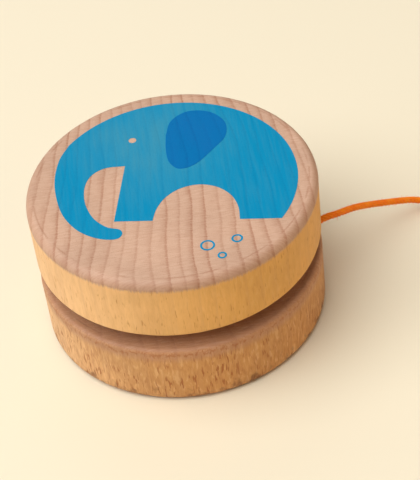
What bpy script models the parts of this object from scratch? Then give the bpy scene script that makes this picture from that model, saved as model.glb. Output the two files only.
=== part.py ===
"""A wooden yo-yo that stands on one face, with its string wound on the axle.

The two halves and the dowel that joins them are turned about Z. The string is one cord: its
winding, the stretch that leads out of the gap, the knot and the finger loop are four solids.
Lengths are in metres, +Z is up, and the origin is the centre of the face it stands on.
"""

import math

import bmesh
import bpy
from mathutils import Vector

MM = 0.001

# The turned halves
DISC_RADIUS = 27.5 * MM
RIM_THICKNESS = 13.3 * MM  # of one half, at its rim
RIM_GAP = 3.8 * MM  # between the halves, at the rim
HUB_GAP = 3.4 * MM  # between the halves, where the string is wound
HUB_RADIUS = 14.0 * MM  # the flat part of each inner face
OUTER_EDGE = 1.6 * MM  # round edge of the face that one sees
INNER_EDGE = 1.0 * MM  # round edge beside the string gap
TOTAL_HEIGHT = 2 * RIM_THICKNESS + RIM_GAP
MIDDLE = TOTAL_HEIGHT / 2

# The dowel, glued into a blind hole in each half
AXLE_RADIUS = 4.0 * MM
AXLE_CHAMFER = 0.5 * MM
HOLE_DEPTH = 9.0 * MM
CLEARANCE = 0.3 * MM  # between solids that touch on the real object

# The string
STRING = 1.4 * MM  # its diameter
LAYERS = 7  # layers of the winding, each two turns wide
FIRST_TURN = AXLE_RADIUS + CLEARANCE / 2 + STRING / 2
LAST_TURN = FIRST_TURN + (LAYERS - 1) * STRING
WINDING_RADIUS = LAST_TURN + STRING / 2
LEAVING_ANGLE = math.radians(-59.4)  # where the string leaves the winding
LEADING_STEP = 2.2 * STRING  # between points along the tubes

# The stretch from the gap, over the lower rim and down to the table, point by point
LEAD_ROUTE = [
    (27.9, 1.1, 14.4),
    (31.3, 3.3, 13.3),
    (35.9, 7.2, 10.8),
    (41.6, 11.3, 7.2),
    (47.8, 14.8, 3.8),
    (50.6, 15.6, 2.5),
    (54.5, 16.1, 1.3),
    (58.5, 15.8, 1.1),
    (61.4, 15.2, 1.7),
]
KNOT_PLACE = (65.2, 14.4, 2.3)
KNOT_SIZE = (3.4, 2.7, 2.3)  # half its length, width and height
# The finger loop, out of the knot on one side and back into it on the other
LOOP_ROUTE = [
    (68.8, 12.7, 1.8),
    (71.8, 10.6, 1.0),
    (76.0, 7.4, 0.75),
    (81.6, 5.0, 0.75),
    (87.6, 5.8, 0.75),
    (91.2, 10.6, 0.75),
    (90.4, 16.6, 0.75),
    (85.8, 20.6, 0.75),
    (79.8, 21.2, 0.75),
    (74.6, 18.6, 0.75),
    (71.6, 16.4, 1.0),
    (68.8, 14.7, 1.8),
]

# Facets
DISC_FACETS = 72
SMALL_FACETS = 48
EDGE_STEPS = 4

BEECH_FACE = (0.64, 0.42, 0.27)
BEECH_LOWER = (0.55, 0.33, 0.19)
DOWEL_WOOD = (0.62, 0.43, 0.26)
ORANGE_COTTON = (0.78, 0.18, 0.02)


def clear_scene():
    for old in list(bpy.data.objects):
        bpy.data.objects.remove(old)


def add_material(piece, name, colour, roughness):
    material = bpy.data.materials.new(name)
    material.use_nodes = True
    shader = material.node_tree.nodes["Principled BSDF"]
    shader.inputs["Base Color"].default_value = (*colour, 1.0)
    shader.inputs["Roughness"].default_value = roughness
    shader.inputs["Metallic"].default_value = 0.0
    piece.data.materials.append(material)


def add_piece(name, data):
    piece = bpy.data.objects.new(name, data)
    bpy.context.scene.collection.objects.link(piece)
    return piece


def quarter_arc(centre_r, centre_z, radius, start_degrees, end_degrees):
    """Points along a quarter circle in a turned profile, as (radius, height)."""
    points = []
    for step in range(EDGE_STEPS + 1):
        angle = math.radians(start_degrees + (end_degrees - start_degrees) * step / EDGE_STEPS)
        points.append((centre_r + radius * math.cos(angle), centre_z + radius * math.sin(angle)))
    return points


def turned_piece(name, profile, facets, closed):
    """A solid turned about Z. An open profile starts and ends on the axis."""
    bm = bmesh.new()
    verts = [bm.verts.new((r, 0.0, z)) for r, z in profile]
    pairs = list(zip(verts, verts[1:])) + ([(verts[-1], verts[0])] if closed else [])
    edges = [bm.edges.new(pair) for pair in pairs]
    bmesh.ops.spin(
        bm, geom=verts + edges, cent=(0, 0, 0), axis=(0, 0, 1), angle=2 * math.pi, steps=facets
    )
    bmesh.ops.remove_doubles(bm, verts=bm.verts, dist=1e-6)
    bmesh.ops.recalc_face_normals(bm, faces=bm.faces)
    mesh = bpy.data.meshes.new(name)
    bm.to_mesh(mesh)
    bm.free()
    mesh.shade_smooth()
    mesh.set_sharp_from_angle(angle=math.radians(35))
    return add_piece(name, mesh)


def half_profile():
    """The upper half's outline, from the bottom of its axle hole round to its top centre."""
    hub_level = MIDDLE + HUB_GAP / 2
    rim_level = MIDDLE + RIM_GAP / 2
    hole_radius = AXLE_RADIUS + CLEARANCE
    inner = quarter_arc(DISC_RADIUS - INNER_EDGE, rim_level + INNER_EDGE, INNER_EDGE, -90, 0)
    outer = quarter_arc(DISC_RADIUS - OUTER_EDGE, TOTAL_HEIGHT - OUTER_EDGE, OUTER_EDGE, 0, 90)
    return [
        (0.0, hub_level + HOLE_DEPTH),
        (hole_radius, hub_level + HOLE_DEPTH),
        (hole_radius, hub_level),
        (HUB_RADIUS, hub_level),
        *inner,
        *outer,
        (0.0, TOTAL_HEIGHT),
    ]


def make_halves():
    upper = half_profile()
    lower = [(r, TOTAL_HEIGHT - z) for r, z in upper]
    for name, profile, colour in (
        ("upper_half", upper, BEECH_FACE),
        ("lower_half", lower, BEECH_LOWER),
    ):
        half = turned_piece(name, profile, DISC_FACETS, closed=False)
        add_material(half, name + "_beech", colour, 0.6)


def make_axle():
    low = MIDDLE - HUB_GAP / 2 - HOLE_DEPTH + CLEARANCE
    high = TOTAL_HEIGHT - low
    profile = [
        (0.0, low),
        (AXLE_RADIUS - AXLE_CHAMFER, low),
        (AXLE_RADIUS, low + AXLE_CHAMFER),
        (AXLE_RADIUS, high - AXLE_CHAMFER),
        (AXLE_RADIUS - AXLE_CHAMFER, high),
        (0.0, high),
    ]
    axle = turned_piece("axle", profile, SMALL_FACETS, closed=False)
    add_material(axle, "axle_beech", DOWEL_WOOD, 0.6)


def make_winding():
    """The outer shape of the wound string, two turns wide with round shoulders."""
    inside = AXLE_RADIUS + CLEARANCE
    centre_r = WINDING_RADIUS - STRING / 2
    top = quarter_arc(centre_r, MIDDLE + STRING / 2, STRING / 2, 0, 90)
    bottom = quarter_arc(centre_r, MIDDLE - STRING / 2, STRING / 2, -90, 0)
    profile = [*bottom, *top, (inside, MIDDLE + STRING), (inside, MIDDLE - STRING)]
    winding = turned_piece("string_winding", profile, SMALL_FACETS, closed=True)
    add_material(winding, "winding_cotton", ORANGE_COTTON, 0.9)


def smooth_route(points, step):
    """Points about one step apart on a smooth curve through the given points."""
    ends = [2 * points[0] - points[1], *points, 2 * points[-1] - points[-2]]
    fine = []
    for before, start, end, after in zip(ends, ends[1:], ends[2:], ends[3:]):
        for part in range(20):
            t = part / 20
            fine.append(
                0.5
                * (
                    2 * start
                    + (end - before) * t
                    + (2 * before - 5 * start + 4 * end - after) * t**2
                    + (3 * start - before - 3 * end + after) * t**3
                )
            )
    fine.append(points[-1])
    lengths = [0.0]
    for a, b in zip(fine, fine[1:]):
        lengths.append(lengths[-1] + (b - a).length)
    count = max(2, round(lengths[-1] / step))
    route, at = [], 0
    for number in range(count + 1):
        wanted = lengths[-1] * number / count
        while at < len(lengths) - 2 and lengths[at + 1] < wanted:
            at += 1
        share = (wanted - lengths[at]) / (lengths[at + 1] - lengths[at])
        route.append(fine[at].lerp(fine[at + 1], share))
    return route


def make_tube(name, route):
    """A stretch of string as a round tube along the route."""
    curve = bpy.data.curves.new(name, "CURVE")
    curve.dimensions = "3D"
    curve.bevel_depth = STRING / 2
    curve.bevel_resolution = 2
    curve.use_fill_caps = True
    spline = curve.splines.new("POLY")
    spline.points.add(len(route) - 1)
    for point, place in zip(spline.points, route):
        point.co = (*place, 1.0)
    tube = add_piece(name, curve)
    add_material(tube, name + "_cotton", ORANGE_COTTON, 0.9)


def leaving_route():
    """The straight run inside the gap, along the tangent on which the string leaves the winding."""
    outward = Vector((math.cos(LEAVING_ANGLE), math.sin(LEAVING_ANGLE), 0.0))
    onward = Vector((-math.sin(LEAVING_ANGLE), math.cos(LEAVING_ANGLE), 0.0))
    clear_radius = WINDING_RADIUS + CLEARANCE + STRING / 2
    start = math.sqrt(clear_radius**2 - LAST_TURN**2)
    middle = Vector((0.0, 0.0, MIDDLE))
    return [middle + LAST_TURN * outward + run * onward for run in (start, start + 7 * MM)]


def make_lead():
    route = leaving_route() + [MM * Vector(place) for place in LEAD_ROUTE]
    make_tube("string_lead", smooth_route(route, LEADING_STEP))


def make_finger_loop():
    route = [MM * Vector(place) for place in LOOP_ROUTE]
    make_tube("finger_loop", smooth_route(route, LEADING_STEP))


def make_knot():
    """The overhand knot that closes the finger loop, as one egg shape."""
    bm = bmesh.new()
    bmesh.ops.create_uvsphere(bm, u_segments=24, v_segments=12, radius=1.0)
    bmesh.ops.scale(bm, vec=MM * Vector(KNOT_SIZE), verts=bm.verts)
    bmesh.ops.translate(bm, vec=MM * Vector(KNOT_PLACE), verts=bm.verts)
    mesh = bpy.data.meshes.new("loop_knot")
    bm.to_mesh(mesh)
    bm.free()
    mesh.shade_smooth()
    knot = add_piece("loop_knot", mesh)
    add_material(knot, "knot_cotton", ORANGE_COTTON, 0.9)


clear_scene()
make_halves()
make_axle()
make_winding()
make_lead()
make_knot()
make_finger_loop()
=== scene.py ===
# %% [markdown]
# # A wooden yo-yo with a printed face and an orange string
# The toy is two thick discs of beech, turned on a lathe and joined by a glued dowel. A cotton
# string is wound round the dowel and leads out of the gap to a finger loop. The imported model
# gives every size, and this lesson gives each piece its finished shape and its finish.

# %% Load the frame
import math

import bmesh
import bpy
from mathutils import Matrix, Vector


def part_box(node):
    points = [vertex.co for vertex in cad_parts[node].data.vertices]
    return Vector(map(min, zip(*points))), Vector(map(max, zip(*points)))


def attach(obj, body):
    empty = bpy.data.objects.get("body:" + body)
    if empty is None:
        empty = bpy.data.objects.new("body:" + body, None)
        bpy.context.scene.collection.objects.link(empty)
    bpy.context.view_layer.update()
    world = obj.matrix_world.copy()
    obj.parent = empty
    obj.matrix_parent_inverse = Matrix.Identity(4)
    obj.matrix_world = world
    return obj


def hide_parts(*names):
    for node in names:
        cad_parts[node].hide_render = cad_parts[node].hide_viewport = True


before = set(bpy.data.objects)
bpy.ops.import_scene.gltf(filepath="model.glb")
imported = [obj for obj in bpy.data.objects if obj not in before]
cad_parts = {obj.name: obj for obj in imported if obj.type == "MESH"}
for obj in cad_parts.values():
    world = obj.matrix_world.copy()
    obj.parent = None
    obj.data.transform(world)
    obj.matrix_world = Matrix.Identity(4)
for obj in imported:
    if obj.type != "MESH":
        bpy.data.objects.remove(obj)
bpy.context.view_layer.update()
MM = 0.001
upper_low, upper_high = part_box("upper_half")
axle_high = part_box("axle")[1]
DISC_RADIUS = upper_high.x
TOP = upper_high.z
MIDDLE = TOP / 2


# %% [markdown]
# ## Small helpers
# Node trees are long when every socket is set by hand, so a few short functions add a node,
# feed its inputs and hand back an output. An input takes either a value or another socket.

# %% Helpers for node trees
def feed(tree, socket, value):
    if isinstance(value, bpy.types.NodeSocket):
        tree.links.new(value, socket)
    else:
        socket.default_value = value


def add(tree, kind, inputs=None, output=0, **settings):
    """Adds a node, feeds its inputs by name or number, and returns one of its outputs."""
    node = tree.nodes.new(kind)
    for name, value in settings.items():
        setattr(node, name, value)
    for key, value in (inputs or {}).items():
        feed(tree, node.inputs[key], value)
    return node.outputs[output]


def sums(tree, operation, *values, clamp=False):
    """A Math node."""
    inputs = dict(enumerate(values))
    return add(tree, "ShaderNodeMath", inputs, operation=operation, use_clamp=clamp)


def vectors(tree, operation, *values, output="Vector"):
    """A Vector Math node."""
    inputs = dict(enumerate(values))
    return add(tree, "ShaderNodeVectorMath", inputs, output=output, operation=operation)


def scaled(tree, vector, factor):
    """A vector times one number."""
    return add(tree, "ShaderNodeVectorMath", {0: vector, "Scale": factor}, operation="SCALE")


def ramp(tree, value, low, high, to_low=0.0, to_high=1.0):
    """A soft step from to_low to to_high while value goes from low to high."""
    inputs = {"Value": value, "From Min": low, "From Max": high}
    inputs |= {"To Min": to_low, "To Max": to_high}
    return add(tree, "ShaderNodeMapRange", inputs, interpolation_type="SMOOTHSTEP")


def noise(tree, vector, scale, detail=2.0, roughness=0.5, distortion=0.0):
    inputs = {"Vector": vector, "Scale": scale, "Detail": detail}
    inputs |= {"Roughness": roughness, "Distortion": distortion}
    return add(tree, "ShaderNodeTexNoise", inputs, output="Fac")


def blend(tree, share, first, second, mode="MIX"):
    """Mixes two colours."""
    inputs = {0: share, 6: first, 7: second}
    return add(tree, "ShaderNodeMix", inputs, output=2, data_type="RGBA", blend_type=mode)


def new_group(name, kind, inputs, outputs):
    """A node group with named sockets. Returns the tree, its inputs by name and its outputs."""
    tree = bpy.data.node_groups.new(name, kind)
    for side, sockets in (("INPUT", inputs), ("OUTPUT", outputs)):
        for title, (sort, default) in sockets.items():
            sort = "NodeSocket" + sort
            made = tree.interface.new_socket(title, in_out=side, socket_type=sort)
            if default is not None:
                made.default_value = default
    given = tree.nodes.new("NodeGroupInput").outputs
    wanted = tree.nodes.new("NodeGroupOutput").inputs
    return tree, given, wanted


def geometry_tree(name, inputs):
    """A Geometry Nodes group: takes geometry, these inputs and a material, gives geometry."""
    shape = {"Geometry": ("Geometry", None)}
    inputs = shape | inputs | {"Material": ("Material", None)}
    return new_group(name, "GeometryNodeTree", inputs, shape)


def stored(tree, geometry, name, value):
    """Keeps a number on every point under a name, for a material to read."""
    inputs = {"Geometry": geometry, "Name": name, "Value": value}
    return add(
        tree, "GeometryNodeStoreNamedAttribute", inputs, data_type="FLOAT", domain="POINT"
    )


def hand_over(tree, geometry, given, wanted):
    """Ends a tree: real geometry instead of instances, with its material."""
    real = add(tree, "GeometryNodeRealizeInstances", {"Geometry": geometry})
    inputs = {"Geometry": real, "Material": given["Material"]}
    feed(tree, wanted["Geometry"], add(tree, "GeometryNodeSetMaterial", inputs))


print("node helpers are ready")


# %% [markdown]
# ## The eye
# The toy lies on a table and is looked at from in front and above, from about five times its
# own width away. The camera leans a little to one side, as a hand-held one does.

# %% Camera
EYE = Vector((0.0, -222.0, 218.5)) * MM
LOOKED_AT = Vector((5.87, -0.98, 15.2)) * MM
LEAN = math.radians(7.24)
LENS = 116.7  # in millimetres, on a picture 36 mm along its long side


def placed(name, data):
    """A new object in the scene, at its origin."""
    made = bpy.data.objects.new(name, data)
    bpy.context.scene.collection.objects.link(made)
    return made


def make_camera():
    data = bpy.data.cameras.new("camera")
    data.lens = LENS
    data.sensor_width = 36.0
    data.clip_start = 0.01
    camera = placed("camera", data)
    camera.location = EYE
    turn = (LOOKED_AT - EYE).to_track_quat("-Z", "Y").to_matrix()
    camera.rotation_mode = "QUATERNION"
    camera.rotation_quaternion = (turn @ Matrix.Rotation(-LEAN, 3, "Z")).to_quaternion()
    bpy.context.scene.camera = camera


make_camera()
print("the eye is", round((EYE - LOOKED_AT).length / MM), "mm away")


# %% [markdown]
# ## The string's route
# The string is one cord of about 0.95 m. Fourteen turns of it lie on the dowel, two side by
# side in seven layers, each turn one diameter from the next. The rest leaves the gap on a
# tangent, comes down over the lower rim to the table, goes through a knot, makes the finger
# loop, and ends in a short tail. A formula gives the turns. The free stretch is a list of
# places with a smooth curve through them.

# %% Route of the string
STRING = 1.4 * MM
LAYERS = 7
FIRST_TURN = axle_high.x + 0.15 * MM + STRING / 2
LAST_TURN = FIRST_TURN + (LAYERS - 1) * STRING
LEAVING_ANGLE = math.radians(-59.4)
POINTS_A_TURN = 60
LEAVING_RUNS = (2.3, 4.6, 6.92, 13.92)  # places on the tangent, counted from the winding
LEAD_ROUTE = [
    (27.9, 1.1, 14.4), (31.3, 3.3, 13.3), (35.9, 7.2, 10.8), (41.6, 11.3, 7.2),
    (47.8, 14.8, 3.8), (50.6, 15.6, 2.5), (54.5, 16.1, 1.3), (58.5, 15.8, 1.1),
    (61.4, 15.2, 1.7),
]
INTO_KNOT = [(62.8, 14.5, 2.05), (65.1, 13.9, 2.1), (67.4, 13.3, 2.05)]
LOOP_ROUTE = [
    (68.8, 12.7, 1.8), (71.8, 10.6, 1.0), (76.0, 7.4, 0.75), (81.6, 5.0, 0.75),
    (87.6, 5.8, 0.75), (91.2, 10.6, 0.75), (90.4, 16.6, 0.75), (85.8, 20.6, 0.75),
    (79.8, 21.2, 0.75), (74.6, 18.6, 0.75), (71.6, 16.4, 1.0), (68.8, 14.9, 1.8),
]
OUT_OF_KNOT = [(67.5, 14.7, 2.05), (65.4, 15.2, 2.1), (63.1, 15.9, 2.0)]
TAIL = [(60.8, 17.0, 1.4), (58.6, 18.3, 0.85), (56.7, 19.9, 0.75)]


def eased(share):
    """From 0 to 1 with a gentle start and end."""
    share = min(max(share, 0.0), 1.0)
    return share * share * (3 - 2 * share)


def turn_place(number):
    """The radius and height of one turn: rows go low, high, high, low, and so on."""
    layer, second = divmod(number, 2)
    row = 1 if (layer + second) % 2 else -1
    return FIRST_TURN + layer * STRING, MIDDLE + row * STRING / 2


def wound_string():
    """The turns on the dowel. In its last fifth each turn moves over to the next one's place."""
    turns, points = 2 * LAYERS, []
    for step in range(turns * POINTS_A_TURN + 1):
        number, part = divmod(step, POINTS_A_TURN)
        number, part = (turns - 1, POINTS_A_TURN) if number == turns else (number, part)
        radius, height = turn_place(number)
        after = turn_place(number + 1) if number + 1 < turns else (radius, MIDDLE)
        share = eased((part / POINTS_A_TURN - 0.8) / 0.2)
        radius += (after[0] - radius) * share
        height += (after[1] - height) * share
        angle = LEAVING_ANGLE + 2 * math.pi * step / POINTS_A_TURN
        points.append(Vector((radius * math.cos(angle), radius * math.sin(angle), height)))
    return points


def smooth_through(points, parts):
    """A smooth curve through the points, cut into so many parts between each two."""
    ends = [2 * points[0] - points[1], *points, 2 * points[-1] - points[-2]]
    fine = []
    for before, start, end, after in zip(ends, ends[1:], ends[2:], ends[3:]):
        for part in range(parts):
            t = part / parts
            bend = (2 * before - 5 * start + 4 * end - after) * t**2
            twist = (3 * start - before - 3 * end + after) * t**3
            fine.append(0.5 * (2 * start + (end - before) * t + bend + twist))
    fine.append(points[-1])
    return fine


def length_of(points):
    return sum((b - a).length for a, b in zip(points, points[1:]))


def whole_route():
    turns = wound_string()
    outward = Vector((math.cos(LEAVING_ANGLE), math.sin(LEAVING_ANGLE), 0.0))
    onward = Vector((-math.sin(LEAVING_ANGLE), math.cos(LEAVING_ANGLE), 0.0))
    leaving = Vector((0.0, 0.0, MIDDLE)) + LAST_TURN * outward
    free = [leaving] + [leaving + run * MM * onward for run in LEAVING_RUNS]
    for stretch in (LEAD_ROUTE, INTO_KNOT, LOOP_ROUTE, OUT_OF_KNOT, TAIL):
        free += [MM * Vector(place) for place in stretch]
    return turns, smooth_through(free, 12)


turns, free = whole_route()
route = turns[:-1] + free
print("wound:", round(length_of(turns), 3), "m, free:", round(length_of(free), 3), "m")


# %% [markdown]
# ## Twisted cotton
# A cotton string is several yarns laid round each other. Geometry Nodes do what the rope maker
# does: they copy the route once for each yarn, push the copies off the middle at equal angles,
# and turn those angles as the cord goes along. Each copy then becomes a thin tube. The same
# tree makes the string and its knot.

# %% Geometry Nodes for a twisted cord
YARN_PLACE = 0.26  # from the string's middle to a yarn's middle, in string diameters
YARN_RADIUS = 0.25  # of one yarn, in string diameters


def input_id(tree, name):
    """The identifier by which a modifier knows one of the tree's named inputs."""
    sockets = tree.interface.items_tree
    return next(s.identifier for s in sockets if s.name == name and s.in_out == "INPUT")


def tube(tree, line, ring):
    """Sweeps a ring along a line and closes both ends."""
    inputs = {"Curve": line, "Profile Curve": ring, "Fill Caps": True}
    return add(tree, "GeometryNodeCurveToMesh", inputs)


def twisted_cord_tree():
    tree, given, wanted = geometry_tree(
        "twisted_cord",
        {
            "Diameter": ("Float", STRING),
            "Yarns": ("Int", 4),
            "Lay length": ("Float", 4 * MM),
            "Point spacing": ("Float", 0.4 * MM),
            "Sides": ("Int", 7),
        },
    )
    inputs = {"Curve": given["Geometry"], "Length": given["Point spacing"]}
    line = add(tree, "GeometryNodeResampleCurve", inputs, mode="LENGTH")
    line = add(tree, "GeometryNodeSetCurveNormal", {"Curve": line}, mode="MINIMUM_TWIST")
    along = add(tree, "GeometryNodeSplineParameter", output="Length")
    line = stored(tree, line, "along", along)
    copies = tree.nodes.new("GeometryNodeDuplicateElements")
    copies.domain = "SPLINE"
    feed(tree, copies.inputs["Geometry"], line)
    feed(tree, copies.inputs["Amount"], given["Yarns"])
    laid = sums(tree, "DIVIDE", along, given["Lay length"])
    place = sums(tree, "DIVIDE", copies.outputs["Duplicate Index"], given["Yarns"])
    angle = sums(tree, "MULTIPLY", sums(tree, "ADD", laid, place), 2 * math.pi)
    normal = add(tree, "GeometryNodeInputNormal")
    across = vectors(tree, "CROSS_PRODUCT", add(tree, "GeometryNodeInputTangent"), normal)
    along_normal = scaled(tree, normal, sums(tree, "COSINE", angle))
    way = vectors(tree, "ADD", along_normal, scaled(tree, across, sums(tree, "SINE", angle)))
    off_middle = sums(tree, "MULTIPLY", given["Diameter"], YARN_PLACE)
    inputs = {"Geometry": copies.outputs["Geometry"], "Offset": scaled(tree, way, off_middle)}
    yarns = add(tree, "GeometryNodeSetPosition", inputs)
    yarn_radius = sums(tree, "MULTIPLY", given["Diameter"], YARN_RADIUS)
    inputs = {"Resolution": given["Sides"], "Radius": yarn_radius}
    ring = add(tree, "GeometryNodeCurvePrimitiveCircle", inputs)
    around = add(tree, "GeometryNodeSplineParameter", output="Factor")
    ring = stored(tree, ring, "around", around)
    hand_over(tree, tube(tree, yarns, ring), given, wanted)
    return tree


def plain_mesh(source, name):
    """What an object's curve and modifiers make, as a mesh. The object and they are removed."""
    bpy.context.view_layer.update()
    evaluated = source.evaluated_get(bpy.context.evaluated_depsgraph_get())
    mesh = bpy.data.meshes.new_from_object(evaluated)
    mesh.name = name
    source.modifiers.clear()
    bpy.data.objects.remove(source)
    return mesh


def baked_mesh(source, tree, inputs, name):
    """Runs a Geometry Nodes tree on an object and returns the result as a plain mesh object."""
    modifier = source.modifiers.new(tree.name, "NODES")
    modifier.node_group = tree
    for title, value in inputs.items():
        modifier[input_id(tree, title)] = value
    mesh = plain_mesh(source, name)
    mesh.shade_smooth()
    return placed(name, mesh)


def line_object(name, splines, cyclic=False, flat=False):
    """A curve object with one straight-edged spline for each list of points."""
    curve = bpy.data.curves.new(name, "CURVE")
    curve.dimensions = "2D" if flat else "3D"
    for points in splines:
        spline = curve.splines.new("POLY")
        spline.points.add(len(points) - 1)
        for point, place in zip(spline.points, points):
            point.co = (*place, 1.0)
        spline.use_cyclic_u = cyclic
    return placed(name, curve)


cord_tree = twisted_cord_tree()
print("twisted cord tree:", len(cord_tree.nodes), "nodes")


# %% [markdown]
# ## Cotton's finish
# Cotton yarn is matt, and fine fibres run round it at a slant. The tree above left two numbers
# on every point, how far along the cord and how far round the yarn it is, so the slanted
# fibres are stripes in those two. One group makes them for the string, the knot and the fuzz.

# %% Shader group for cotton fibres
def cotton_group():
    tree, given, wanted = new_group(
        "cotton_fibres",
        "ShaderNodeTree",
        {
            "Along": ("Float", 0.0),
            "Around": ("Float", 0.0),
            "Position": ("Vector", None),
            "Deep colour": ("Color", (0.90, 0.148, 0.002, 1.0)),
            "Light colour": ("Color", (1.0, 0.33, 0.008, 1.0)),
        },
        {
            "Color": ("Color", None),
            "Height": ("Float", None),
        },
    )
    slant = sums(tree, "MULTIPLY", given["Along"], 1 / (2.2 * MM))
    phase = sums(tree, "ADD", slant, given["Around"])
    stripes = sums(tree, "SINE", sums(tree, "MULTIPLY", phase, 2 * math.pi * 9))
    stripes = sums(tree, "MULTIPLY_ADD", stripes, 0.5, 0.5)
    in_mm = scaled(tree, given["Position"], 1 / MM)
    tangle = noise(tree, in_mm, 6.0, detail=4.0, roughness=0.65)
    patches = noise(tree, in_mm, 0.55, detail=1.0)
    height = sums(tree, "MULTIPLY_ADD", stripes, 0.45, tangle)
    light = sums(tree, "MULTIPLY_ADD", patches, 0.5, sums(tree, "MULTIPLY", height, 0.45))
    share = ramp(tree, light, 0.35, 0.85)
    feed(tree, wanted["Color"], blend(tree, share, given["Deep colour"], given["Light colour"]))
    feed(tree, wanted["Height"], height)
    return tree


def new_material(name):
    """An empty material with its Principled shader. Returns the material, its tree and shader."""
    material = bpy.data.materials.new(name)
    material.use_nodes = True
    return material, material.node_tree, material.node_tree.nodes["Principled BSDF"]


def relief(tree, shader, height, depth, strength=1.0):
    """Shades the surface as if it stood out by the depth wherever the height is 1."""
    inputs = {"Height": height, "Distance": depth, "Strength": strength}
    feed(tree, shader.inputs["Normal"], add(tree, "ShaderNodeBump", inputs))


def use_group(tree, group, inputs):
    """Places a node group in a material and feeds it. Returns its outputs."""
    node = tree.nodes.new("ShaderNodeGroup")
    node.node_tree = group
    for name, value in inputs.items():
        feed(tree, node.inputs[name], value)
    return node.outputs


def cotton_material(name, group, sheen):
    material, tree, shader = new_material(name)
    inputs = {
        "Along": add(tree, "ShaderNodeAttribute", output="Fac", attribute_name="along"),
        "Around": add(tree, "ShaderNodeAttribute", output="Fac", attribute_name="around"),
        "Position": add(tree, "ShaderNodeTexCoord", output="Object"),
    }
    fibres = use_group(tree, group, inputs)
    feed(tree, shader.inputs["Base Color"], fibres["Color"])
    relief(tree, shader, fibres["Height"], 0.06 * MM, 0.9)
    shader.inputs["Roughness"].default_value = 0.85
    shader.inputs["Sheen Weight"].default_value = sheen
    shader.inputs["Sheen Roughness"].default_value = 0.5
    shader.inputs["Specular IOR Level"].default_value = 0.12
    return material


cotton = cotton_group()
string_cotton = cotton_material("orange_cotton", cotton, sheen=0.12)
print("cotton group:", len(cotton.nodes), "nodes")

# %% Make the string and its knot
KNOT_PLACE = Vector((65.25, 14.6, 2.1)) * MM
KNOT_TURNS = 2.7
KNOT_WIDE = 1.95 * MM  # from the knot's middle to the middle of a wrap, sideways
KNOT_HIGH = 1.36 * MM  # and upwards


def knot_route():
    """The wraps that hold the doubled string: a flattened coil whose two ends tuck inside."""
    way = Vector((0.98, -0.2, 0.0)).normalized()
    side = Vector((0.2, 0.98, 0.0)).normalized()
    points = []
    steps = round(KNOT_TURNS * 36)
    for step in range(steps + 1):
        share = step / steps
        angle = 2 * math.pi * KNOT_TURNS * share
        tuck = 0.35 + 0.65 * eased(min(share, 1 - share) / 0.14)
        run = (share - 0.5) * (KNOT_TURNS - 0.4) * 1.02 * STRING
        across = tuck * KNOT_WIDE * math.cos(angle)
        upward = tuck * KNOT_HIGH * math.sin(angle)
        points.append(KNOT_PLACE + run * way + across * side + Vector((0, 0, upward)))
    return points


string = baked_mesh(
    line_object("string_line", [route]), cord_tree, {"Material": string_cotton}, "string_cord"
)
knot = baked_mesh(
    line_object("knot_line", [knot_route()]), cord_tree, {"Material": string_cotton}, "knot_wraps"
)
print("string faces:", len(string.data.polygons), "knot faces:", len(knot.data.polygons))

# %% [markdown]
# Spun cotton is never quite smooth: short fibres stand off it and give its edge a soft glow.
# Geometry Nodes scatter points along the free stretch, and set a bent hair on each one with
# its foot inside the yarns. A fixed seed keeps every hair where it is.

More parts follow.
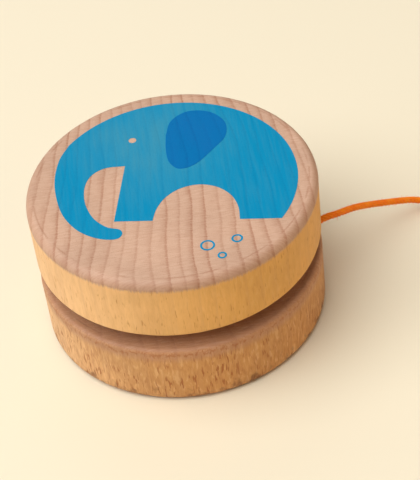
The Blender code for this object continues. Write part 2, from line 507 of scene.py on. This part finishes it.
# %% Geometry Nodes for the fibres
def fibre_tree():
    tree, given, wanted = geometry_tree(
        "loose_fibres",
        {
            "Spacing": ("Float", 0.05 * MM),
            "Fibre length": ("Float", 0.62 * MM),
            "Fibre radius": ("Float", 0.014 * MM),
            "Foot": ("Float", 0.5 * MM),
            "Seed": ("Int", 4),
        },
    )
    places = tree.nodes.new("GeometryNodeCurveToPoints")
    places.mode = "LENGTH"
    feed(tree, places.inputs["Curve"], given["Geometry"])
    feed(tree, places.inputs["Length"], given["Spacing"])

    def chance(low, high, turn):
        seed = sums(tree, "ADD", given["Seed"], turn)
        inputs = {2: low, 3: high, "Seed": seed}
        return add(tree, "FunctionNodeRandomValue", inputs, output=1, data_type="FLOAT")

    # Each hair is turned to one side of the string, and then leans over.
    turned = places.outputs["Rotation"]
    round_string = (0, 0, 1), chance(0.0, 2 * math.pi, 1)
    leaning = (0, 1, 0), chance(0.35, 1.9, 2)
    for axis, angle in (round_string, leaning):
        turn = add(tree, "FunctionNodeAxisAngleToRotation", {"Axis": axis, "Angle": angle})
        inputs = {"Rotation": turned, "Rotate By": turn}
        turned = add(tree, "FunctionNodeRotateRotation", inputs, rotation_space="LOCAL")
    hair = tree.nodes.new("GeometryNodeCurveQuadraticBezier")
    feed(tree, hair.inputs["Resolution"], 4)
    feed(tree, hair.inputs["Start"], add(tree, "ShaderNodeCombineXYZ", {"Z": given["Foot"]}))
    reach = sums(tree, "ADD", given["Foot"], given["Fibre length"])
    half_way = sums(tree, "MULTIPLY_ADD", given["Fibre length"], 0.6, given["Foot"])
    bow = sums(tree, "MULTIPLY", given["Fibre length"], 0.35)
    feed(tree, hair.inputs["Middle"], add(tree, "ShaderNodeCombineXYZ", {"Z": half_way}))
    feed(tree, hair.inputs["End"], add(tree, "ShaderNodeCombineXYZ", {"X": bow, "Z": reach}))
    inputs = {"Resolution": 3, "Radius": given["Fibre radius"]}
    ring = add(tree, "GeometryNodeCurvePrimitiveCircle", inputs)
    body = tube(tree, hair.outputs["Curve"], ring)
    size = chance(0.45, 1.15, 3)
    size = add(tree, "ShaderNodeCombineXYZ", {"X": 1.0, "Y": 1.0, "Z": size})
    inputs = {"Points": places.outputs["Points"], "Instance": body}
    inputs |= {"Rotation": turned, "Scale": size}
    hairs = add(tree, "GeometryNodeInstanceOnPoints", inputs)
    hairs = add(tree, "GeometryNodeRealizeInstances", {"Geometry": hairs})
    # A hair that would reach into the table lies down on it instead.
    here = add(tree, "GeometryNodeInputPosition")
    resting = vectors(tree, "MAXIMUM", here, (-1.0, -1.0, 0.02 * MM))
    hairs = add(tree, "GeometryNodeSetPosition", {"Geometry": hairs, "Position": resting})
    hand_over(tree, hairs, given, wanted)
    return tree


BARE_START = 40  # points of the free stretch that are still beside the winding
fuzzy_line = line_object("fuzzy_line", [free[BARE_START:]])
fibres = baked_mesh(fuzzy_line, fibre_tree(), {"Material": string_cotton}, "string_fibres")
print("fibre faces:", len(fibres.data.polygons))

# %% Join the string to the frame
for piece in (string, knot, fibres):
    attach(piece, "string")
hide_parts("string_winding", "string_lead", "finger_loop")
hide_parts("loop_knot")
print("length stated:", round(length_of(route), 3), "m")


# %% [markdown]
# ## Beech
# Both discs are cut across a round bar, so the tree's fibres run along the axle. That puts end
# grain on the flat faces, pinkish and lined with growth rings and fine rays, and long grain on
# the sides, yellower and scattered with short dark flecks. One group draws all of it from the
# place in the block, so the rings meet at the edges as they do in solid wood.

# %% Shader group for beech
RING_SPACING = 2.45  # in millimetres


def stretched_noise(tree, place, stretch, **settings):
    return noise(tree, vectors(tree, "MULTIPLY", place, stretch), 1.0, **settings)


def ring_lines(tree, place, spacing):
    """Growth rings: slightly wavy bands that darken slowly and end at a soft, broken line."""
    parts = add(tree, "ShaderNodeSeparateXYZ", {0: place}).node.outputs
    drift = stretched_noise(tree, place, (0.05, 0.03, 0.012), detail=1.0)
    wave = stretched_noise(tree, place, (0.28, 0.10, 0.03), detail=2.0)
    # The rings fan out a little towards the front, away from the middle of the tree.
    fan = sums(tree, "MULTIPLY", sums(tree, "SUBTRACT", parts["X"], 5.0), parts["Y"])
    across = sums(tree, "MULTIPLY_ADD", fan, 0.0064, parts["X"])
    across = sums(tree, "MULTIPLY_ADD", drift, 6.0, across)
    across = sums(tree, "MULTIPLY_ADD", wave, 1.0, across)
    fuzz = stretched_noise(tree, place, (3.2, 2.2, 0.4), detail=2.0)
    across = sums(tree, "MULTIPLY_ADD", fuzz, 0.5, across)
    count = sums(tree, "DIVIDE", across, spacing)
    part = sums(tree, "FRACT", count)
    number = sums(tree, "FLOOR", count)
    strength = add(
        tree, "ShaderNodeTexWhiteNoise", {"W": number}, output="Value", noise_dimensions="1D"
    )
    strength = ramp(tree, strength, 0.0, 1.0, 0.5, 1.05)
    end = ramp(tree, part, 0.90, 1.0, 1.0, 0.0)
    broken = stretched_noise(tree, place, (1.2, 4.6, 0.4), detail=1.0)
    broken = ramp(tree, broken, 0.36, 0.62, 0.7, 1.1)
    line = sums(tree, "MULTIPLY", ramp(tree, part, 0.62, 0.90), broken)
    patches = ramp(tree, stretched_noise(tree, place, (0.3, 0.11, 0.03)), 0.35, 0.65, 0.15, 0.62)
    late = sums(tree, "MULTIPLY", ramp(tree, part, 0.25, 0.9), patches)
    both = sums(tree, "MULTIPLY", sums(tree, "MAXIMUM", line, late), end)
    return sums(tree, "MULTIPLY", both, strength)


def tinted(tree, share, color, other, strength):
    """Moves a colour towards another by a mask times a strength."""
    return blend(tree, sums(tree, "MULTIPLY", share, strength, clamp=True), color, other)


def near(tree, value, middle, width):
    """1 at the middle value, falling softly to 0 a width away on both sides."""
    away = sums(tree, "ABSOLUTE", sums(tree, "SUBTRACT", value, middle))
    return ramp(tree, away, 0.0, width, 1.0, 0.0)


def beech_group():
    tree, given, wanted = new_group(
        "beech",
        "ShaderNodeTree",
        {
            "Position": ("Vector", None),
            "Normal": ("Vector", None),
            "Block": ("Vector", (0.0, 0.0, 0.0)),
            "Ring spacing": ("Float", RING_SPACING),
            "Flecks": ("Float", 0.5),
            "Mottle": ("Float", 0.3),
            "Foot darkening": ("Float", 0.0),
            "Face colour": ("Color", (0.585, 0.37, 0.262, 1.0)),
            "Side colour": ("Color", (0.87, 0.53, 0.255, 1.0)),
            "Ring colour": ("Color", (0.375, 0.17, 0.098, 1.0)),
            "Painted shade colour": ("Color", (0.715, 0.355, 0.06, 1.0)),
            "Fleck colour": ("Color", (0.38, 0.125, 0.035, 1.0)),
            "Fleck rarity": ("Float", 0.60),
            "Border wear": ("Float", 0.5),
            "Border softness": ("Float", 0.18),
            "Painted shade side": ("Vector", (1.0, -0.3, 0.0)),
            "Painted shade share": ("Float", 0.2),
            "Torn edge": ("Float", 0.0),
            "Ring strength": ("Float", 0.8),
            "Bleed": ("Float", 1.0),
            "Bleed level": ("Float", 29.4),
            "Bleed reach": ("Float", 1.35),
            "Edge tone": ("Float", 0.28),
        },
        {
            "Color": ("Color", None),
            "Grain": ("Float", None),
            "Height": ("Float", None),
            "Roughness": ("Float", None),
        },
    )
    in_mm = scaled(tree, given["Position"], 1 / MM)
    place = vectors(tree, "ADD", in_mm, given["Block"])
    parts = add(tree, "ShaderNodeSeparateXYZ", {0: in_mm}).node.outputs
    radius = vectors(tree, "LENGTH", vectors(tree, "MULTIPLY", in_mm, (1, 1, 0)), output="Value")
    # End grain shows where the surface faces up or down. Fibres leave its border ragged.
    facing = add(tree, "ShaderNodeSeparateXYZ", {0: given["Normal"]}, output="Z")
    facing = sums(tree, "MAXIMUM", facing, sums(tree, "MULTIPLY_ADD", facing, -2.5, -1.25))
    ragged = stretched_noise(tree, place, (4.0, 4.0, 0.5), detail=2.0)
    ragged = sums(tree, "SUBTRACT", ragged, 0.5)
    border = sums(tree, "MULTIPLY_ADD", ragged, given["Border wear"], facing)
    end_grain = ramp(tree, border, 0.16, sums(tree, "ADD", given["Border softness"], 0.16))
    # Below the round edge the pink of the end grain bleeds a little way into the side.
    level = sums(tree, "ABSOLUTE", sums(tree, "SUBTRACT", parts["Z"], given["Bleed level"]))
    level = sums(tree, "MULTIPLY_ADD", ragged, 1.3, level)
    level = sums(tree, "DIVIDE", level, given["Bleed reach"])
    bleed = sums(tree, "MULTIPLY", ramp(tree, level, 0.3, 1.0, 1.0, 0.0), given["Bleed"])
    end_grain = sums(tree, "MAXIMUM", end_grain, bleed)
    # The face: growth rings, rays across them, and pores.
    rings = ring_lines(tree, place, given["Ring spacing"])
    rays = stretched_noise(tree, place, (0.5, 5.2, 0.35), detail=2.0)
    light_rays = ramp(tree, rays, 0.52, 0.66)
    dark_rays = ramp(tree, rays, 0.46, 0.34)
    pores = ramp(tree, stretched_noise(tree, place, (5.5, 5.5, 0.6), detail=1.0), 0.56, 0.72)
    face = tinted(tree, rings, given["Face colour"], given["Ring colour"], given["Ring strength"])
    face = tinted(tree, light_rays, face, (0.80, 0.58, 0.45, 1.0), 0.16)
    face = tinted(tree, dark_rays, face, given["Ring colour"], 0.20)
    face = tinted(tree, pores, face, given["Ring colour"], 0.22)
    edge = ramp(tree, radius, (DISC_RADIUS - 1.5 * MM) / MM, DISC_RADIUS / MM - 0.1)
    face = tinted(tree, edge, face, given["Ring colour"], given["Edge tone"])
    # The cutter leaves a thin bruised line where the round edge meets the face and the side.
    wander = sums(tree, "MULTIPLY_ADD", ragged, 0.5, radius)
    inner_line = near(tree, wander, (DISC_RADIUS - 1.6 * MM) / MM, 0.28)
    patchy = ramp(tree, stretched_noise(tree, place, (0.22, 0.22, 0.22), detail=2.0), 0.42, 0.6)
    inner_line = sums(tree, "MULTIPLY", inner_line, patchy)
    uneven = stretched_noise(tree, place, (1.1, 1.1, 1.1), detail=2.0)
    from_middle = sums(tree, "ABSOLUTE", sums(tree, "SUBTRACT", parts["Z"], MIDDLE / MM))
    jagged = sums(tree, "MULTIPLY_ADD", ragged, 0.5, from_middle)
    outer_line = near(tree, jagged, (MIDDLE - 1.55 * MM) / MM, 0.26)
    outer_line = sums(tree, "MULTIPLY", outer_line, ramp(tree, uneven, 0.40, 0.62, 0.0, 0.6))
    bruise = sums(tree, "MAXIMUM", inner_line, outer_line)
    torn = sums(tree, "MULTIPLY_ADD", ragged, 2.6, from_middle)
    torn = near(tree, torn, 3.0, 0.8)
    torn = sums(tree, "MULTIPLY", torn, ramp(tree, uneven, 0.42, 0.58, 0.1, 1.0))
    # The side: fine fibres, slow streaks, a cloudy shimmer and short upright flecks.
    crowd = stretched_noise(tree, place, (0.13, 0.13, 0.16), detail=1.0)
    crowd = ramp(tree, crowd, 0.35, 0.62, 0.3, 1.0)
    rarest = sums(tree, "ADD", given["Fleck rarity"], 0.09)
    flecks = stretched_noise(tree, place, (3.0, 3.0, 0.46), detail=1.0, distortion=0.3)
    flecks = sums(tree, "MULTIPLY", ramp(tree, flecks, given["Fleck rarity"], rarest), crowd)
    fibres = stretched_noise(tree, place, (6.5, 6.5, 0.35), detail=2.0)
    streaks = stretched_noise(tree, place, (0.6, 0.6, 0.03), detail=3.0)
    mottle = stretched_noise(tree, place, (1.5, 1.5, 0.42), detail=3.0, distortion=0.6)
    streaks = ramp(tree, streaks, 0.35, 0.70)
    side = tinted(tree, streaks, given["Side colour"], given["Ring colour"], 0.16)
    dark_mottle = ramp(tree, mottle, 0.46, 0.68)
    # Painted shade: the side turns darker and more orange towards the right and the front, as it
    # looks there in shade and warm bounce light.
    painted_shade = vectors(tree, "DOT_PRODUCT", in_mm, given["Painted shade side"], output="Value")
    painted_shade = ramp(tree, painted_shade, -24.0, 24.0)
    side = tinted(tree, painted_shade, side, given["Painted shade colour"], given["Painted shade share"])
    side = tinted(tree, dark_mottle, side, given["Fleck colour"], given["Mottle"])
    light_mottle = sums(tree, "MULTIPLY", ramp(tree, mottle, 0.48, 0.32), given["Mottle"])
    side = tinted(tree, light_mottle, side, (0.98, 0.66, 0.36, 1.0), 0.7)
    side = tinted(tree, ramp(tree, fibres, 0.48, 0.72), side, given["Fleck colour"], 0.14)
    side = tinted(tree, rings, side, given["Ring colour"], 0.12)
    side = tinted(tree, flecks, side, given["Fleck colour"], given["Flecks"])
    # The side is darker, in spots, over its lowest few millimetres.
    spots = stretched_noise(tree, place, (0.5, 0.5, 0.42), detail=3.0)
    height = sums(tree, "MULTIPLY_ADD", sums(tree, "SUBTRACT", spots, 0.54), -18.0, parts["Z"])
    spots = ramp(tree, height, -0.6, 2.6, 1.0, 0.0)
    low = ramp(tree, parts["Z"], 1.2, 5.0, 1.0, 0.15)
    foot_darkening = sums(tree, "MULTIPLY", sums(tree, "MULTIPLY", spots, low), given["Foot darkening"])
    side = tinted(tree, foot_darkening, side, (0.20, 0.072, 0.022, 1.0), 1.0)
    both = blend(tree, end_grain, side, face)
    both = tinted(tree, bruise, both, given["Ring colour"], 0.5)
    both = tinted(tree, torn, both, given["Fleck colour"], given["Torn edge"])
    tone = ramp(tree, noise(tree, place, 0.07, detail=2.0), 0.3, 0.7, 0.94, 1.05)
    toned = add(tree, "ShaderNodeCombineColor", {0: tone, 1: tone, 2: tone})
    feed(tree, wanted["Color"], blend(tree, 1.0, both, toned, mode="MULTIPLY"))
    face_dips = sums(tree, "MULTIPLY_ADD", rings, 0.5, sums(tree, "MULTIPLY", pores, 0.6))
    face_dips = sums(tree, "MULTIPLY_ADD", light_rays, -0.12, face_dips)
    side_dips = sums(tree, "MULTIPLY_ADD", fibres, 0.4, sums(tree, "MULTIPLY", flecks, 0.6))
    dips = add(tree, "ShaderNodeMix", {0: end_grain, 2: side_dips, 3: face_dips}, data_type="FLOAT")
    dips = sums(tree, "MULTIPLY_ADD", bruise, 0.5, dips)
    feed(tree, wanted["Grain"], sums(tree, "MULTIPLY", dips, 1.0, clamp=True))
    feed(tree, wanted["Height"], sums(tree, "SUBTRACT", 1.0, dips))
    feed(tree, wanted["Roughness"], ramp(tree, dips, 0.0, 1.0, 0.50, 0.70))
    return tree


def wood_here(tree, group, inputs):
    """Places the beech group, cut from the block where the piece itself lies."""
    coordinates = tree.nodes.new("ShaderNodeTexCoord").outputs
    places = {"Position": coordinates["Object"], "Normal": coordinates["Normal"]}
    return use_group(tree, group, places | inputs)


def beech_material(name, group, inputs, grain_depth):
    material, tree, shader = new_material(name)
    wood = wood_here(tree, group, inputs)
    feed(tree, shader.inputs["Base Color"], wood["Color"])
    feed(tree, shader.inputs["Roughness"], wood["Roughness"])
    relief(tree, shader, wood["Height"], grain_depth)
    shader.inputs["Specular IOR Level"].default_value = 0.35
    return material


beech = beech_group()
upper_beech = beech_material(
    "beech_upper",
    beech,
    {
        "Flecks": 0.55,
        "Fleck rarity": 0.635,
        "Fleck colour": (0.43, 0.17, 0.03, 1.0),
        "Mottle": 0.10,
        "Border softness": 0.45,
        # Painted shade on the right and front of the side.
        "Painted shade share": 0.85,
    },
    0.03 * MM,
)
lower_beech = beech_material(
    "beech_lower",
    beech,
    {
        "Block": (31.0, -12.0, 57.0),
        "Flecks": 0.9,
        "Fleck rarity": 0.575,
        "Mottle": 0.30,
        "Foot darkening": 0.8,
        "Border wear": 1.1,
        "Border softness": 0.6,
        "Ring strength": 0.35,
        "Bleed": 0.75,
        "Bleed level": 12.9,
        "Bleed reach": 3.2,
        "Torn edge": 0.7,
        # Painted shade on the right and front of the side.
        "Painted shade side": (0.75, -0.75, 0.0),
        "Painted shade share": 0.75,
        "Side colour": (0.81, 0.49, 0.245, 1.0),
        "Painted shade colour": (0.52, 0.228, 0.044, 1.0),
        # The face is darker than the upper disc's: partly browner wood, partly painted shade for
        # the gap under the upper disc.
        "Face colour": (0.51, 0.265, 0.142, 1.0),
    },
    0.07 * MM,
)
dowel_beech = beech_material("beech_dowel", beech, {"Block": (5.0, 70.0, 0.0)}, 0.04 * MM)
print("beech group:", len(beech.nodes), "nodes")


# %% [markdown]
# ## Turning the discs
# A lathe turns a block while the tool follows a profile, and Geometry Nodes do the same. The
# profile is drawn here with its two round edges. A router cut them, so each starts and ends in
# a faint ridge. The tree sets a grid's columns round the axis and its rows along the profile,
# welds the seam, and leaves a little unevenness on the edges, as sanding by hand does.

# %% Profile of one disc
OUTER_EDGE = 1.6 * MM
INNER_EDGE = 1.0 * MM
RIDGE = 0.23  # how full the round edges are: 0.207 would run smoothly into the faces
EDGE_STEPS = 10
GUARD = 0.12 * MM  # a close pair of rings keeps the flat faces flat when they are shaded smooth
HOLE_RADIUS = axle_high.x + 0.3 * MM
HOLE_FLOOR = axle_high.z + 0.3 * MM
HUB_RADIUS = 14.0 * MM
HUB_LEVEL = upper_low.z
RIM_LEVEL = HUB_LEVEL + 0.2 * MM


def round_edge(start, end, full):
    """Points on a shallow arc from start to end, bulging towards larger radii."""
    chord = end - start
    onward = chord.normalized()
    across = Vector((chord.z, 0.0, -chord.x)).normalized()
    rise = full * chord.length
    radius = chord.length_squared / (8 * rise) + rise / 2
    middle = (start + end) / 2 + across * (rise - radius)
    half = math.asin(chord.length / (2 * radius))
    points = []
    for step in range(EDGE_STEPS + 1):
        angle = half * (2 * step / EDGE_STEPS - 1)
        points.append(middle + radius * (math.cos(angle) * across + math.sin(angle) * onward))
    return points


def half_profile():
    """The upper half's outline, from its axle hole round to the middle of its top."""

    def at(radius, height):
        return Vector((radius, 0.0, height))

    outline = [at(0.0, HOLE_FLOOR), at(HOLE_RADIUS, HOLE_FLOOR), at(HOLE_RADIUS, HUB_LEVEL)]
    outline += [at(HUB_RADIUS, HUB_LEVEL), at(DISC_RADIUS - INNER_EDGE - GUARD, RIM_LEVEL)]
    inner = at(DISC_RADIUS - INNER_EDGE, RIM_LEVEL), at(DISC_RADIUS, RIM_LEVEL + INNER_EDGE)
    outline += round_edge(*inner, RIDGE)
    outline += [at(DISC_RADIUS, RIM_LEVEL + INNER_EDGE + GUARD)]
    outline += [at(DISC_RADIUS, TOP - OUTER_EDGE - GUARD)]
    outer = at(DISC_RADIUS, TOP - OUTER_EDGE), at(DISC_RADIUS - OUTER_EDGE, TOP)
    outline += round_edge(*outer, RIDGE)
    outline += [at(DISC_RADIUS - OUTER_EDGE - GUARD, TOP), at(0.0, TOP)]
    return outline


print("profile points:", len(half_profile()))

# %% Geometry Nodes for a lathe
def lathe_tree():
    tree, given, wanted = geometry_tree(
        "lathe",
        {
            "Facets": ("Int", 256),
            "Unevenness": ("Float", 0.1 * MM),
            "Dent size": ("Float", 3.0 * MM),
        },
    )
    profile = given["Geometry"]
    rows = add(
        tree, "GeometryNodeAttributeDomainSize", {0: profile}, output="Point Count",
        component="CURVE",
    )
    columns = sums(tree, "ADD", given["Facets"], 1)
    inputs = {"Size X": 1.0, "Size Y": 1.0, "Vertices X": columns, "Vertices Y": rows}
    grid = add(tree, "GeometryNodeMeshGrid", inputs)
    # A grid numbers its points row after row up each column.
    index = add(tree, "GeometryNodeInputIndex")
    column = sums(tree, "FLOOR", sums(tree, "DIVIDE", sums(tree, "ADD", index, 0.5), rows))
    row = sums(tree, "SUBTRACT", index, sums(tree, "MULTIPLY", column, rows))
    here = add(tree, "GeometryNodeInputPosition")
    inputs = {"Geometry": profile, "Value": here, "Index": row}
    place = add(tree, "GeometryNodeSampleIndex", inputs, data_type="FLOAT_VECTOR", domain="POINT")
    turn = sums(tree, "MULTIPLY", sums(tree, "DIVIDE", column, given["Facets"]), 2 * math.pi)
    spun = add(
        tree, "ShaderNodeVectorRotate", {"Vector": place, "Angle": turn}, rotation_type="Z_AXIS"
    )
    solid = add(tree, "GeometryNodeSetPosition", {"Geometry": grid, "Position": spun})
    solid = add(tree, "GeometryNodeMergeByDistance", {"Geometry": solid, "Distance": 0.001 * MM})
    # Only the round edges are uneven: neither the flat faces nor the upright side.
    normal = add(tree, "GeometryNodeInputNormal")
    flat = sums(tree, "ABSOLUTE", add(tree, "ShaderNodeSeparateXYZ", {0: normal}, output="Z"))
    off_side, off_face = ramp(tree, flat, 0.02, 0.4), ramp(tree, flat, 0.7, 0.99, 1.0, 0.0)
    loose = sums(tree, "MULTIPLY", off_side, off_face)
    closeness = sums(tree, "DIVIDE", 1.0, given["Dent size"])
    dents = noise(tree, scaled(tree, here, closeness), 1.0, detail=2.0)
    dents = sums(tree, "MULTIPLY", sums(tree, "SUBTRACT", dents, 0.6), given["Unevenness"])
    push = scaled(tree, normal, sums(tree, "MULTIPLY", dents, loose))
    solid = add(tree, "GeometryNodeSetPosition", {"Geometry": solid, "Offset": push})
    hand_over(tree, solid, given, wanted)
    return tree


def turned_half(name, node, material, upside_down):
    half = baked_mesh(
        line_object(name + "_profile", [half_profile()]), lathe, {"Material": material}, name
    )
    if upside_down:
        centre = Matrix.Translation((0.0, 0.0, MIDDLE))
        half.data.transform(centre @ Matrix.Rotation(math.pi, 4, "X") @ centre.inverted())
    half.data.set_sharp_from_angle(angle=math.radians(40))
    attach(half, "yoyo_body")
    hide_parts(node)
    return half


lathe = lathe_tree()
upper = turned_half("upper_disc", "upper_half", upper_beech, upside_down=False)
turned_half("lower_disc", "lower_half", lower_beech, upside_down=True)
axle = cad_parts["axle"]
axle.data.materials.clear()
axle.data.materials.append(dowel_beech)
print("faces of a disc:", len(upper.data.polygons))


# %% [markdown]
# ## The printed elephant
# The picture is a film of ink, pressed through a screen onto the sanded end grain. It is far
# thinner than paper, its outline is crisp, and the growth rings still show through it. So it is
# a real sheet with its own edge, lying just above the wood, and its colour borrows the wood's
# grain. The animal is a plain side view inside a circle, with a darker ear laid over the body.

# %% Outlines of the print
PRINT_RADIUS = 23.8
PRINT_TURN = math.radians(-10.5)
INK_THICKNESS = 0.03 * MM
FEET = -10.8


def arc(radius, start, end, centre=(0.0, 0.0), steps=48):
    """Points on a circle, in millimetres, from one angle to another in degrees."""
    points = []
    for step in range(steps + 1):
        angle = math.radians(start + (end - start) * step / steps)
        across, up = radius * math.cos(angle), radius * math.sin(angle)
        points.append(Vector((centre[0] + across, centre[1] + up, 0)))
    return points


def bend(*places):
    """A smooth stretch through the places."""
    return smooth_through([Vector((x, y, 0)) for x, y in places], 10)


def elephant_outline():
    back_foot = math.degrees(math.asin(FEET / PRINT_RADIUS))
    outline = arc(PRINT_RADIUS, back_foot, 152, steps=90)
    outline += bend(
        (-21.0, 11.2), (-22.2, 7.0), (-22.3, 1.5), (-21.2, -4.0), (-19.2, -9.0), (-16.0, -13.0),
        (-12.2, -15.2), (-8.8, -15.6), (-7.6, -14.4), (-8.2, -13.0), (-10.8, -12.2),
        (-13.6, -9.6), (-15.6, -5.4), (-16.2, -1.0), (-15.3, 2.3), (-12.9, 4.3), (-9.2, 4.8),
    )
    outline += [Vector((-9.5, FEET, 0))]
    outline += bend(
        (-2.4, FEET), (-1.9, -7.4), (-0.4, -4.2), (2.2, -1.9), (5.6, -1.0), (9.0, -1.9),
        (11.6, -4.2), (13.1, -7.4), (13.6, FEET),
    )
    return outline


def ear_outline():
    return bend(
        (-2.2, 13.6), (-1.6, 18.0), (1.4, 20.9), (5.8, 20.6), (9.0, 17.4), (9.4, 13.0),
        (7.2, 9.0), (4.4, 5.0), (1.4, 3.6), (-0.8, 5.6), (-1.8, 9.4), (-2.2, 13.6),
    )[:-1]


def on_face(points):
    """Puts a flat outline in millimetres onto the disc, turned as the print is."""
    turn = Matrix.Rotation(PRINT_TURN, 3, "Z")
    return [MM * (turn @ point) for point in points]


EYE_DOT = arc(0.75, 0, 360, centre=(-8.6, 12.4), steps=32)[:-1]
RINGS = [((8.2, -17.6), 1.35), ((13.4, -15.9), 1.05), ((11.0, -20.2), 0.85)]
RING_LINE = 0.36


def ring_outlines():
    splines = []
    for centre, radius in RINGS:
        for edge in (radius, radius - RING_LINE):
            splines.append(arc(edge, 0, 360, centre=centre, steps=40)[:-1])
    return splines


print("outline points:", len(elephant_outline()))


# %% Ink
# The middle of the painted sheen on the ink.
SHEEN_MIDDLE = (-2.0, 12.0, 0.0)  # in millimetres, on the face
AIR = 0.004 * MM  # between one film and what lies under it


def ink_material(name, group, colour, sheen_colour, sheen_strength):
    """Pressed ink over wood that shows through a little, with a painted sheen: paler, greyer
    patches round one place.
    """
    material, tree, shader = new_material(name)
    wood = wood_here(tree, group, {})
    in_mm = scaled(tree, add(tree, "ShaderNodeTexCoord", output="Object"), 1 / MM)
    on_plan = vectors(tree, "MULTIPLY", in_mm, (1, 1, 0))
    away = vectors(tree, "DISTANCE", on_plan, SHEEN_MIDDLE, output="Value")
    # Painted sheen: the ink is paler and greyer in cloudy patches and thin streaks round one place,
    # where it catches the light.
    sheen_area = ramp(tree, away, 6.0, 20.0, 1.0, 0.0)
    sheen_patches = stretched_noise(tree, in_mm, (0.20, 0.10, 0.1), detail=1.0)
    streaks = stretched_noise(tree, in_mm, (1.5, 0.11, 0.1), detail=2.0)
    painted_sheen = sums(tree, "MULTIPLY", ramp(tree, sheen_patches, 0.25, 0.75, 0.25, 0.8), sheen_area)
    painted_sheen = sums(tree, "MULTIPLY_ADD", ramp(tree, streaks, 0.35, 0.70), 0.25, painted_sheen)
    painted_sheen = sums(tree, "MULTIPLY", painted_sheen, sheen_strength, clamp=True)
    inked = blend(tree, painted_sheen, colour, sheen_colour)
    deep = blend(tree, 1.0, inked, (0.55, 0.74, 0.80, 1.0), mode="MULTIPLY")
    inked = tinted(tree, wood["Grain"], inked, deep, 0.8)
    speckle = noise(tree, in_mm, 3.5, detail=2.0)
    height = sums(tree, "MULTIPLY_ADD", speckle, 0.3, wood["Height"])
    feed(tree, shader.inputs["Base Color"], inked)
    feed(tree, shader.inputs["Roughness"], ramp(tree, sheen_patches, 0.3, 0.7, 0.40, 0.55))
    relief(tree, shader, height, 0.018 * MM)
    shader.inputs["Specular IOR Level"].default_value = 0.06
    return material


def weld(mesh):
    """Joins the sheet's faces to its rim and turns all faces outwards."""
    bm = bmesh.new()
    bm.from_mesh(mesh)
    bmesh.ops.remove_doubles(bm, verts=bm.verts, dist=0.0005 * MM)
    bmesh.ops.recalc_face_normals(bm, faces=bm.faces)
    bm.to_mesh(mesh)
    bm.free()


def ink_film(name, splines, level, material):
    """A closed sheet of ink with the given outlines, lying at a level above the wood."""
    outline = line_object(name + "_outline", [on_face(points) for points in splines], True, True)
    outline.data.fill_mode = "BOTH"
    outline.data.extrude = INK_THICKNESS / 2
    mesh = plain_mesh(outline, name)
    mesh.transform(Matrix.Translation((0.0, 0.0, level + INK_THICKNESS / 2)))
    weld(mesh)
    mesh.materials.clear()
    mesh.materials.append(material)
    film = placed(name, mesh)
    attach(film, "yoyo_body")
    return film


blue = ink_material(
    "ink_blue", beech, (0.0, 0.25, 0.475, 1.0), (0.04, 0.275, 0.43, 1.0), sheen_strength=1.0
)
dark_blue = ink_material(
    "ink_dark_blue", beech, (0.0, 0.145, 0.42, 1.0), (0.0, 0.17, 0.42, 1.0), sheen_strength=0.5
)
elephant = ink_film("print_elephant", [elephant_outline(), EYE_DOT], TOP + AIR, blue)
ear_level = TOP + 2 * AIR + INK_THICKNESS
ear = ink_film("print_ear", [ear_outline()], ear_level, dark_blue)
bubbles = ink_film("print_rings", ring_outlines(), TOP + AIR, blue)
print("ink faces:", len(elephant.data.polygons), len(ear.data.polygons), len(bubbles.data.polygons))


# %% [markdown]
# ## Table and light
# A plain pale table and soft studio light. The main lamp is large and high on the left, so the
# shadow is short, broad and falls to the right. Walls give back some of it, warm on the right
# and pale on the left and behind, and the room fills in the rest.

# %% Table
TABLE_HALF = 3.0  # in metres, far past what the camera sees
TABLE_LEVEL = -0.02 * MM  # just below the pieces, so that no two faces share a plane


def make_table():
    mesh = bpy.data.meshes.new("table")
    corners = [(-1, -1), (1, -1), (1, 1), (-1, 1)]
    places = [(x * TABLE_HALF, y * TABLE_HALF, TABLE_LEVEL) for x, y in corners]
    mesh.from_pydata(places, [], [(0, 1, 2, 3)])
    table = placed("table", mesh)
    material, tree, shader = new_material("pale_table")
    shader.inputs["Base Color"].default_value = (0.84, 0.765, 0.60, 1.0)
    shader.inputs["Roughness"].default_value = 0.8
    shader.inputs["Specular IOR Level"].default_value = 0.2
    mesh.materials.append(material)


make_table()
print("table:", 2 * TABLE_HALF, "m wide")


# %% Light
AIM = Vector((0.0, 0.0, 15.0)) * MM
KEY_FAR = 1.2  # in metres
HALF_ANGLE = math.radians(30)  # how large the main lamp looks from the table
WALL_FAR, WALL_WIDE = 2.0, 1.33  # in metres


def from_side(azimuth, elevation, distance):
    """A place seen from the table in that direction, azimuth counted from the right."""
    azimuth, elevation = math.radians(azimuth), math.radians(elevation)
    flat = math.cos(elevation) * distance
    return (flat * math.cos(azimuth), flat * math.sin(azimuth), math.sin(elevation) * distance)


def area_light(name, place, size, power, colour):
    """A round lamp that looks at the toy."""
    data = bpy.data.lights.new(name, "AREA")
    data.shape = "DISK"
    data.size = size
    data.energy = power
    data.color = colour
    lamp = placed(name, data)
    lamp.location = place
    lamp.rotation_mode = "QUATERNION"
    lamp.rotation_quaternion = (AIM - Vector(place)).to_track_quat("-Z", "Y")


def make_world(strength, colour):
    world = bpy.data.worlds.new("studio")
    world.use_nodes = True
    background = world.node_tree.nodes["Background"]
    background.inputs["Color"].default_value = (*colour, 1.0)
    background.inputs["Strength"].default_value = strength
    bpy.context.scene.world = world


key_wide = 2 * KEY_FAR * math.tan(HALF_ANGLE)
area_light("window", from_side(205, 65, KEY_FAR), key_wide, 16.8, (1.0, 0.985, 0.955))
area_light("wall_right", from_side(-22, 18, WALL_FAR), WALL_WIDE, 7.0, (1.0, 0.56, 0.13))
area_light("wall_left", from_side(190, 18, WALL_FAR), WALL_WIDE, 8.2, (0.93, 0.97, 1.0))
area_light("wall_back", from_side(95, 42, KEY_FAR), 0.7, 1.2, (1.0, 0.97, 0.92))
make_world(0.22, (1.0, 0.97, 0.92))
bpy.context.scene.view_settings.view_transform = "Standard"
print("lamps:", [lamp.name for lamp in bpy.data.lights])
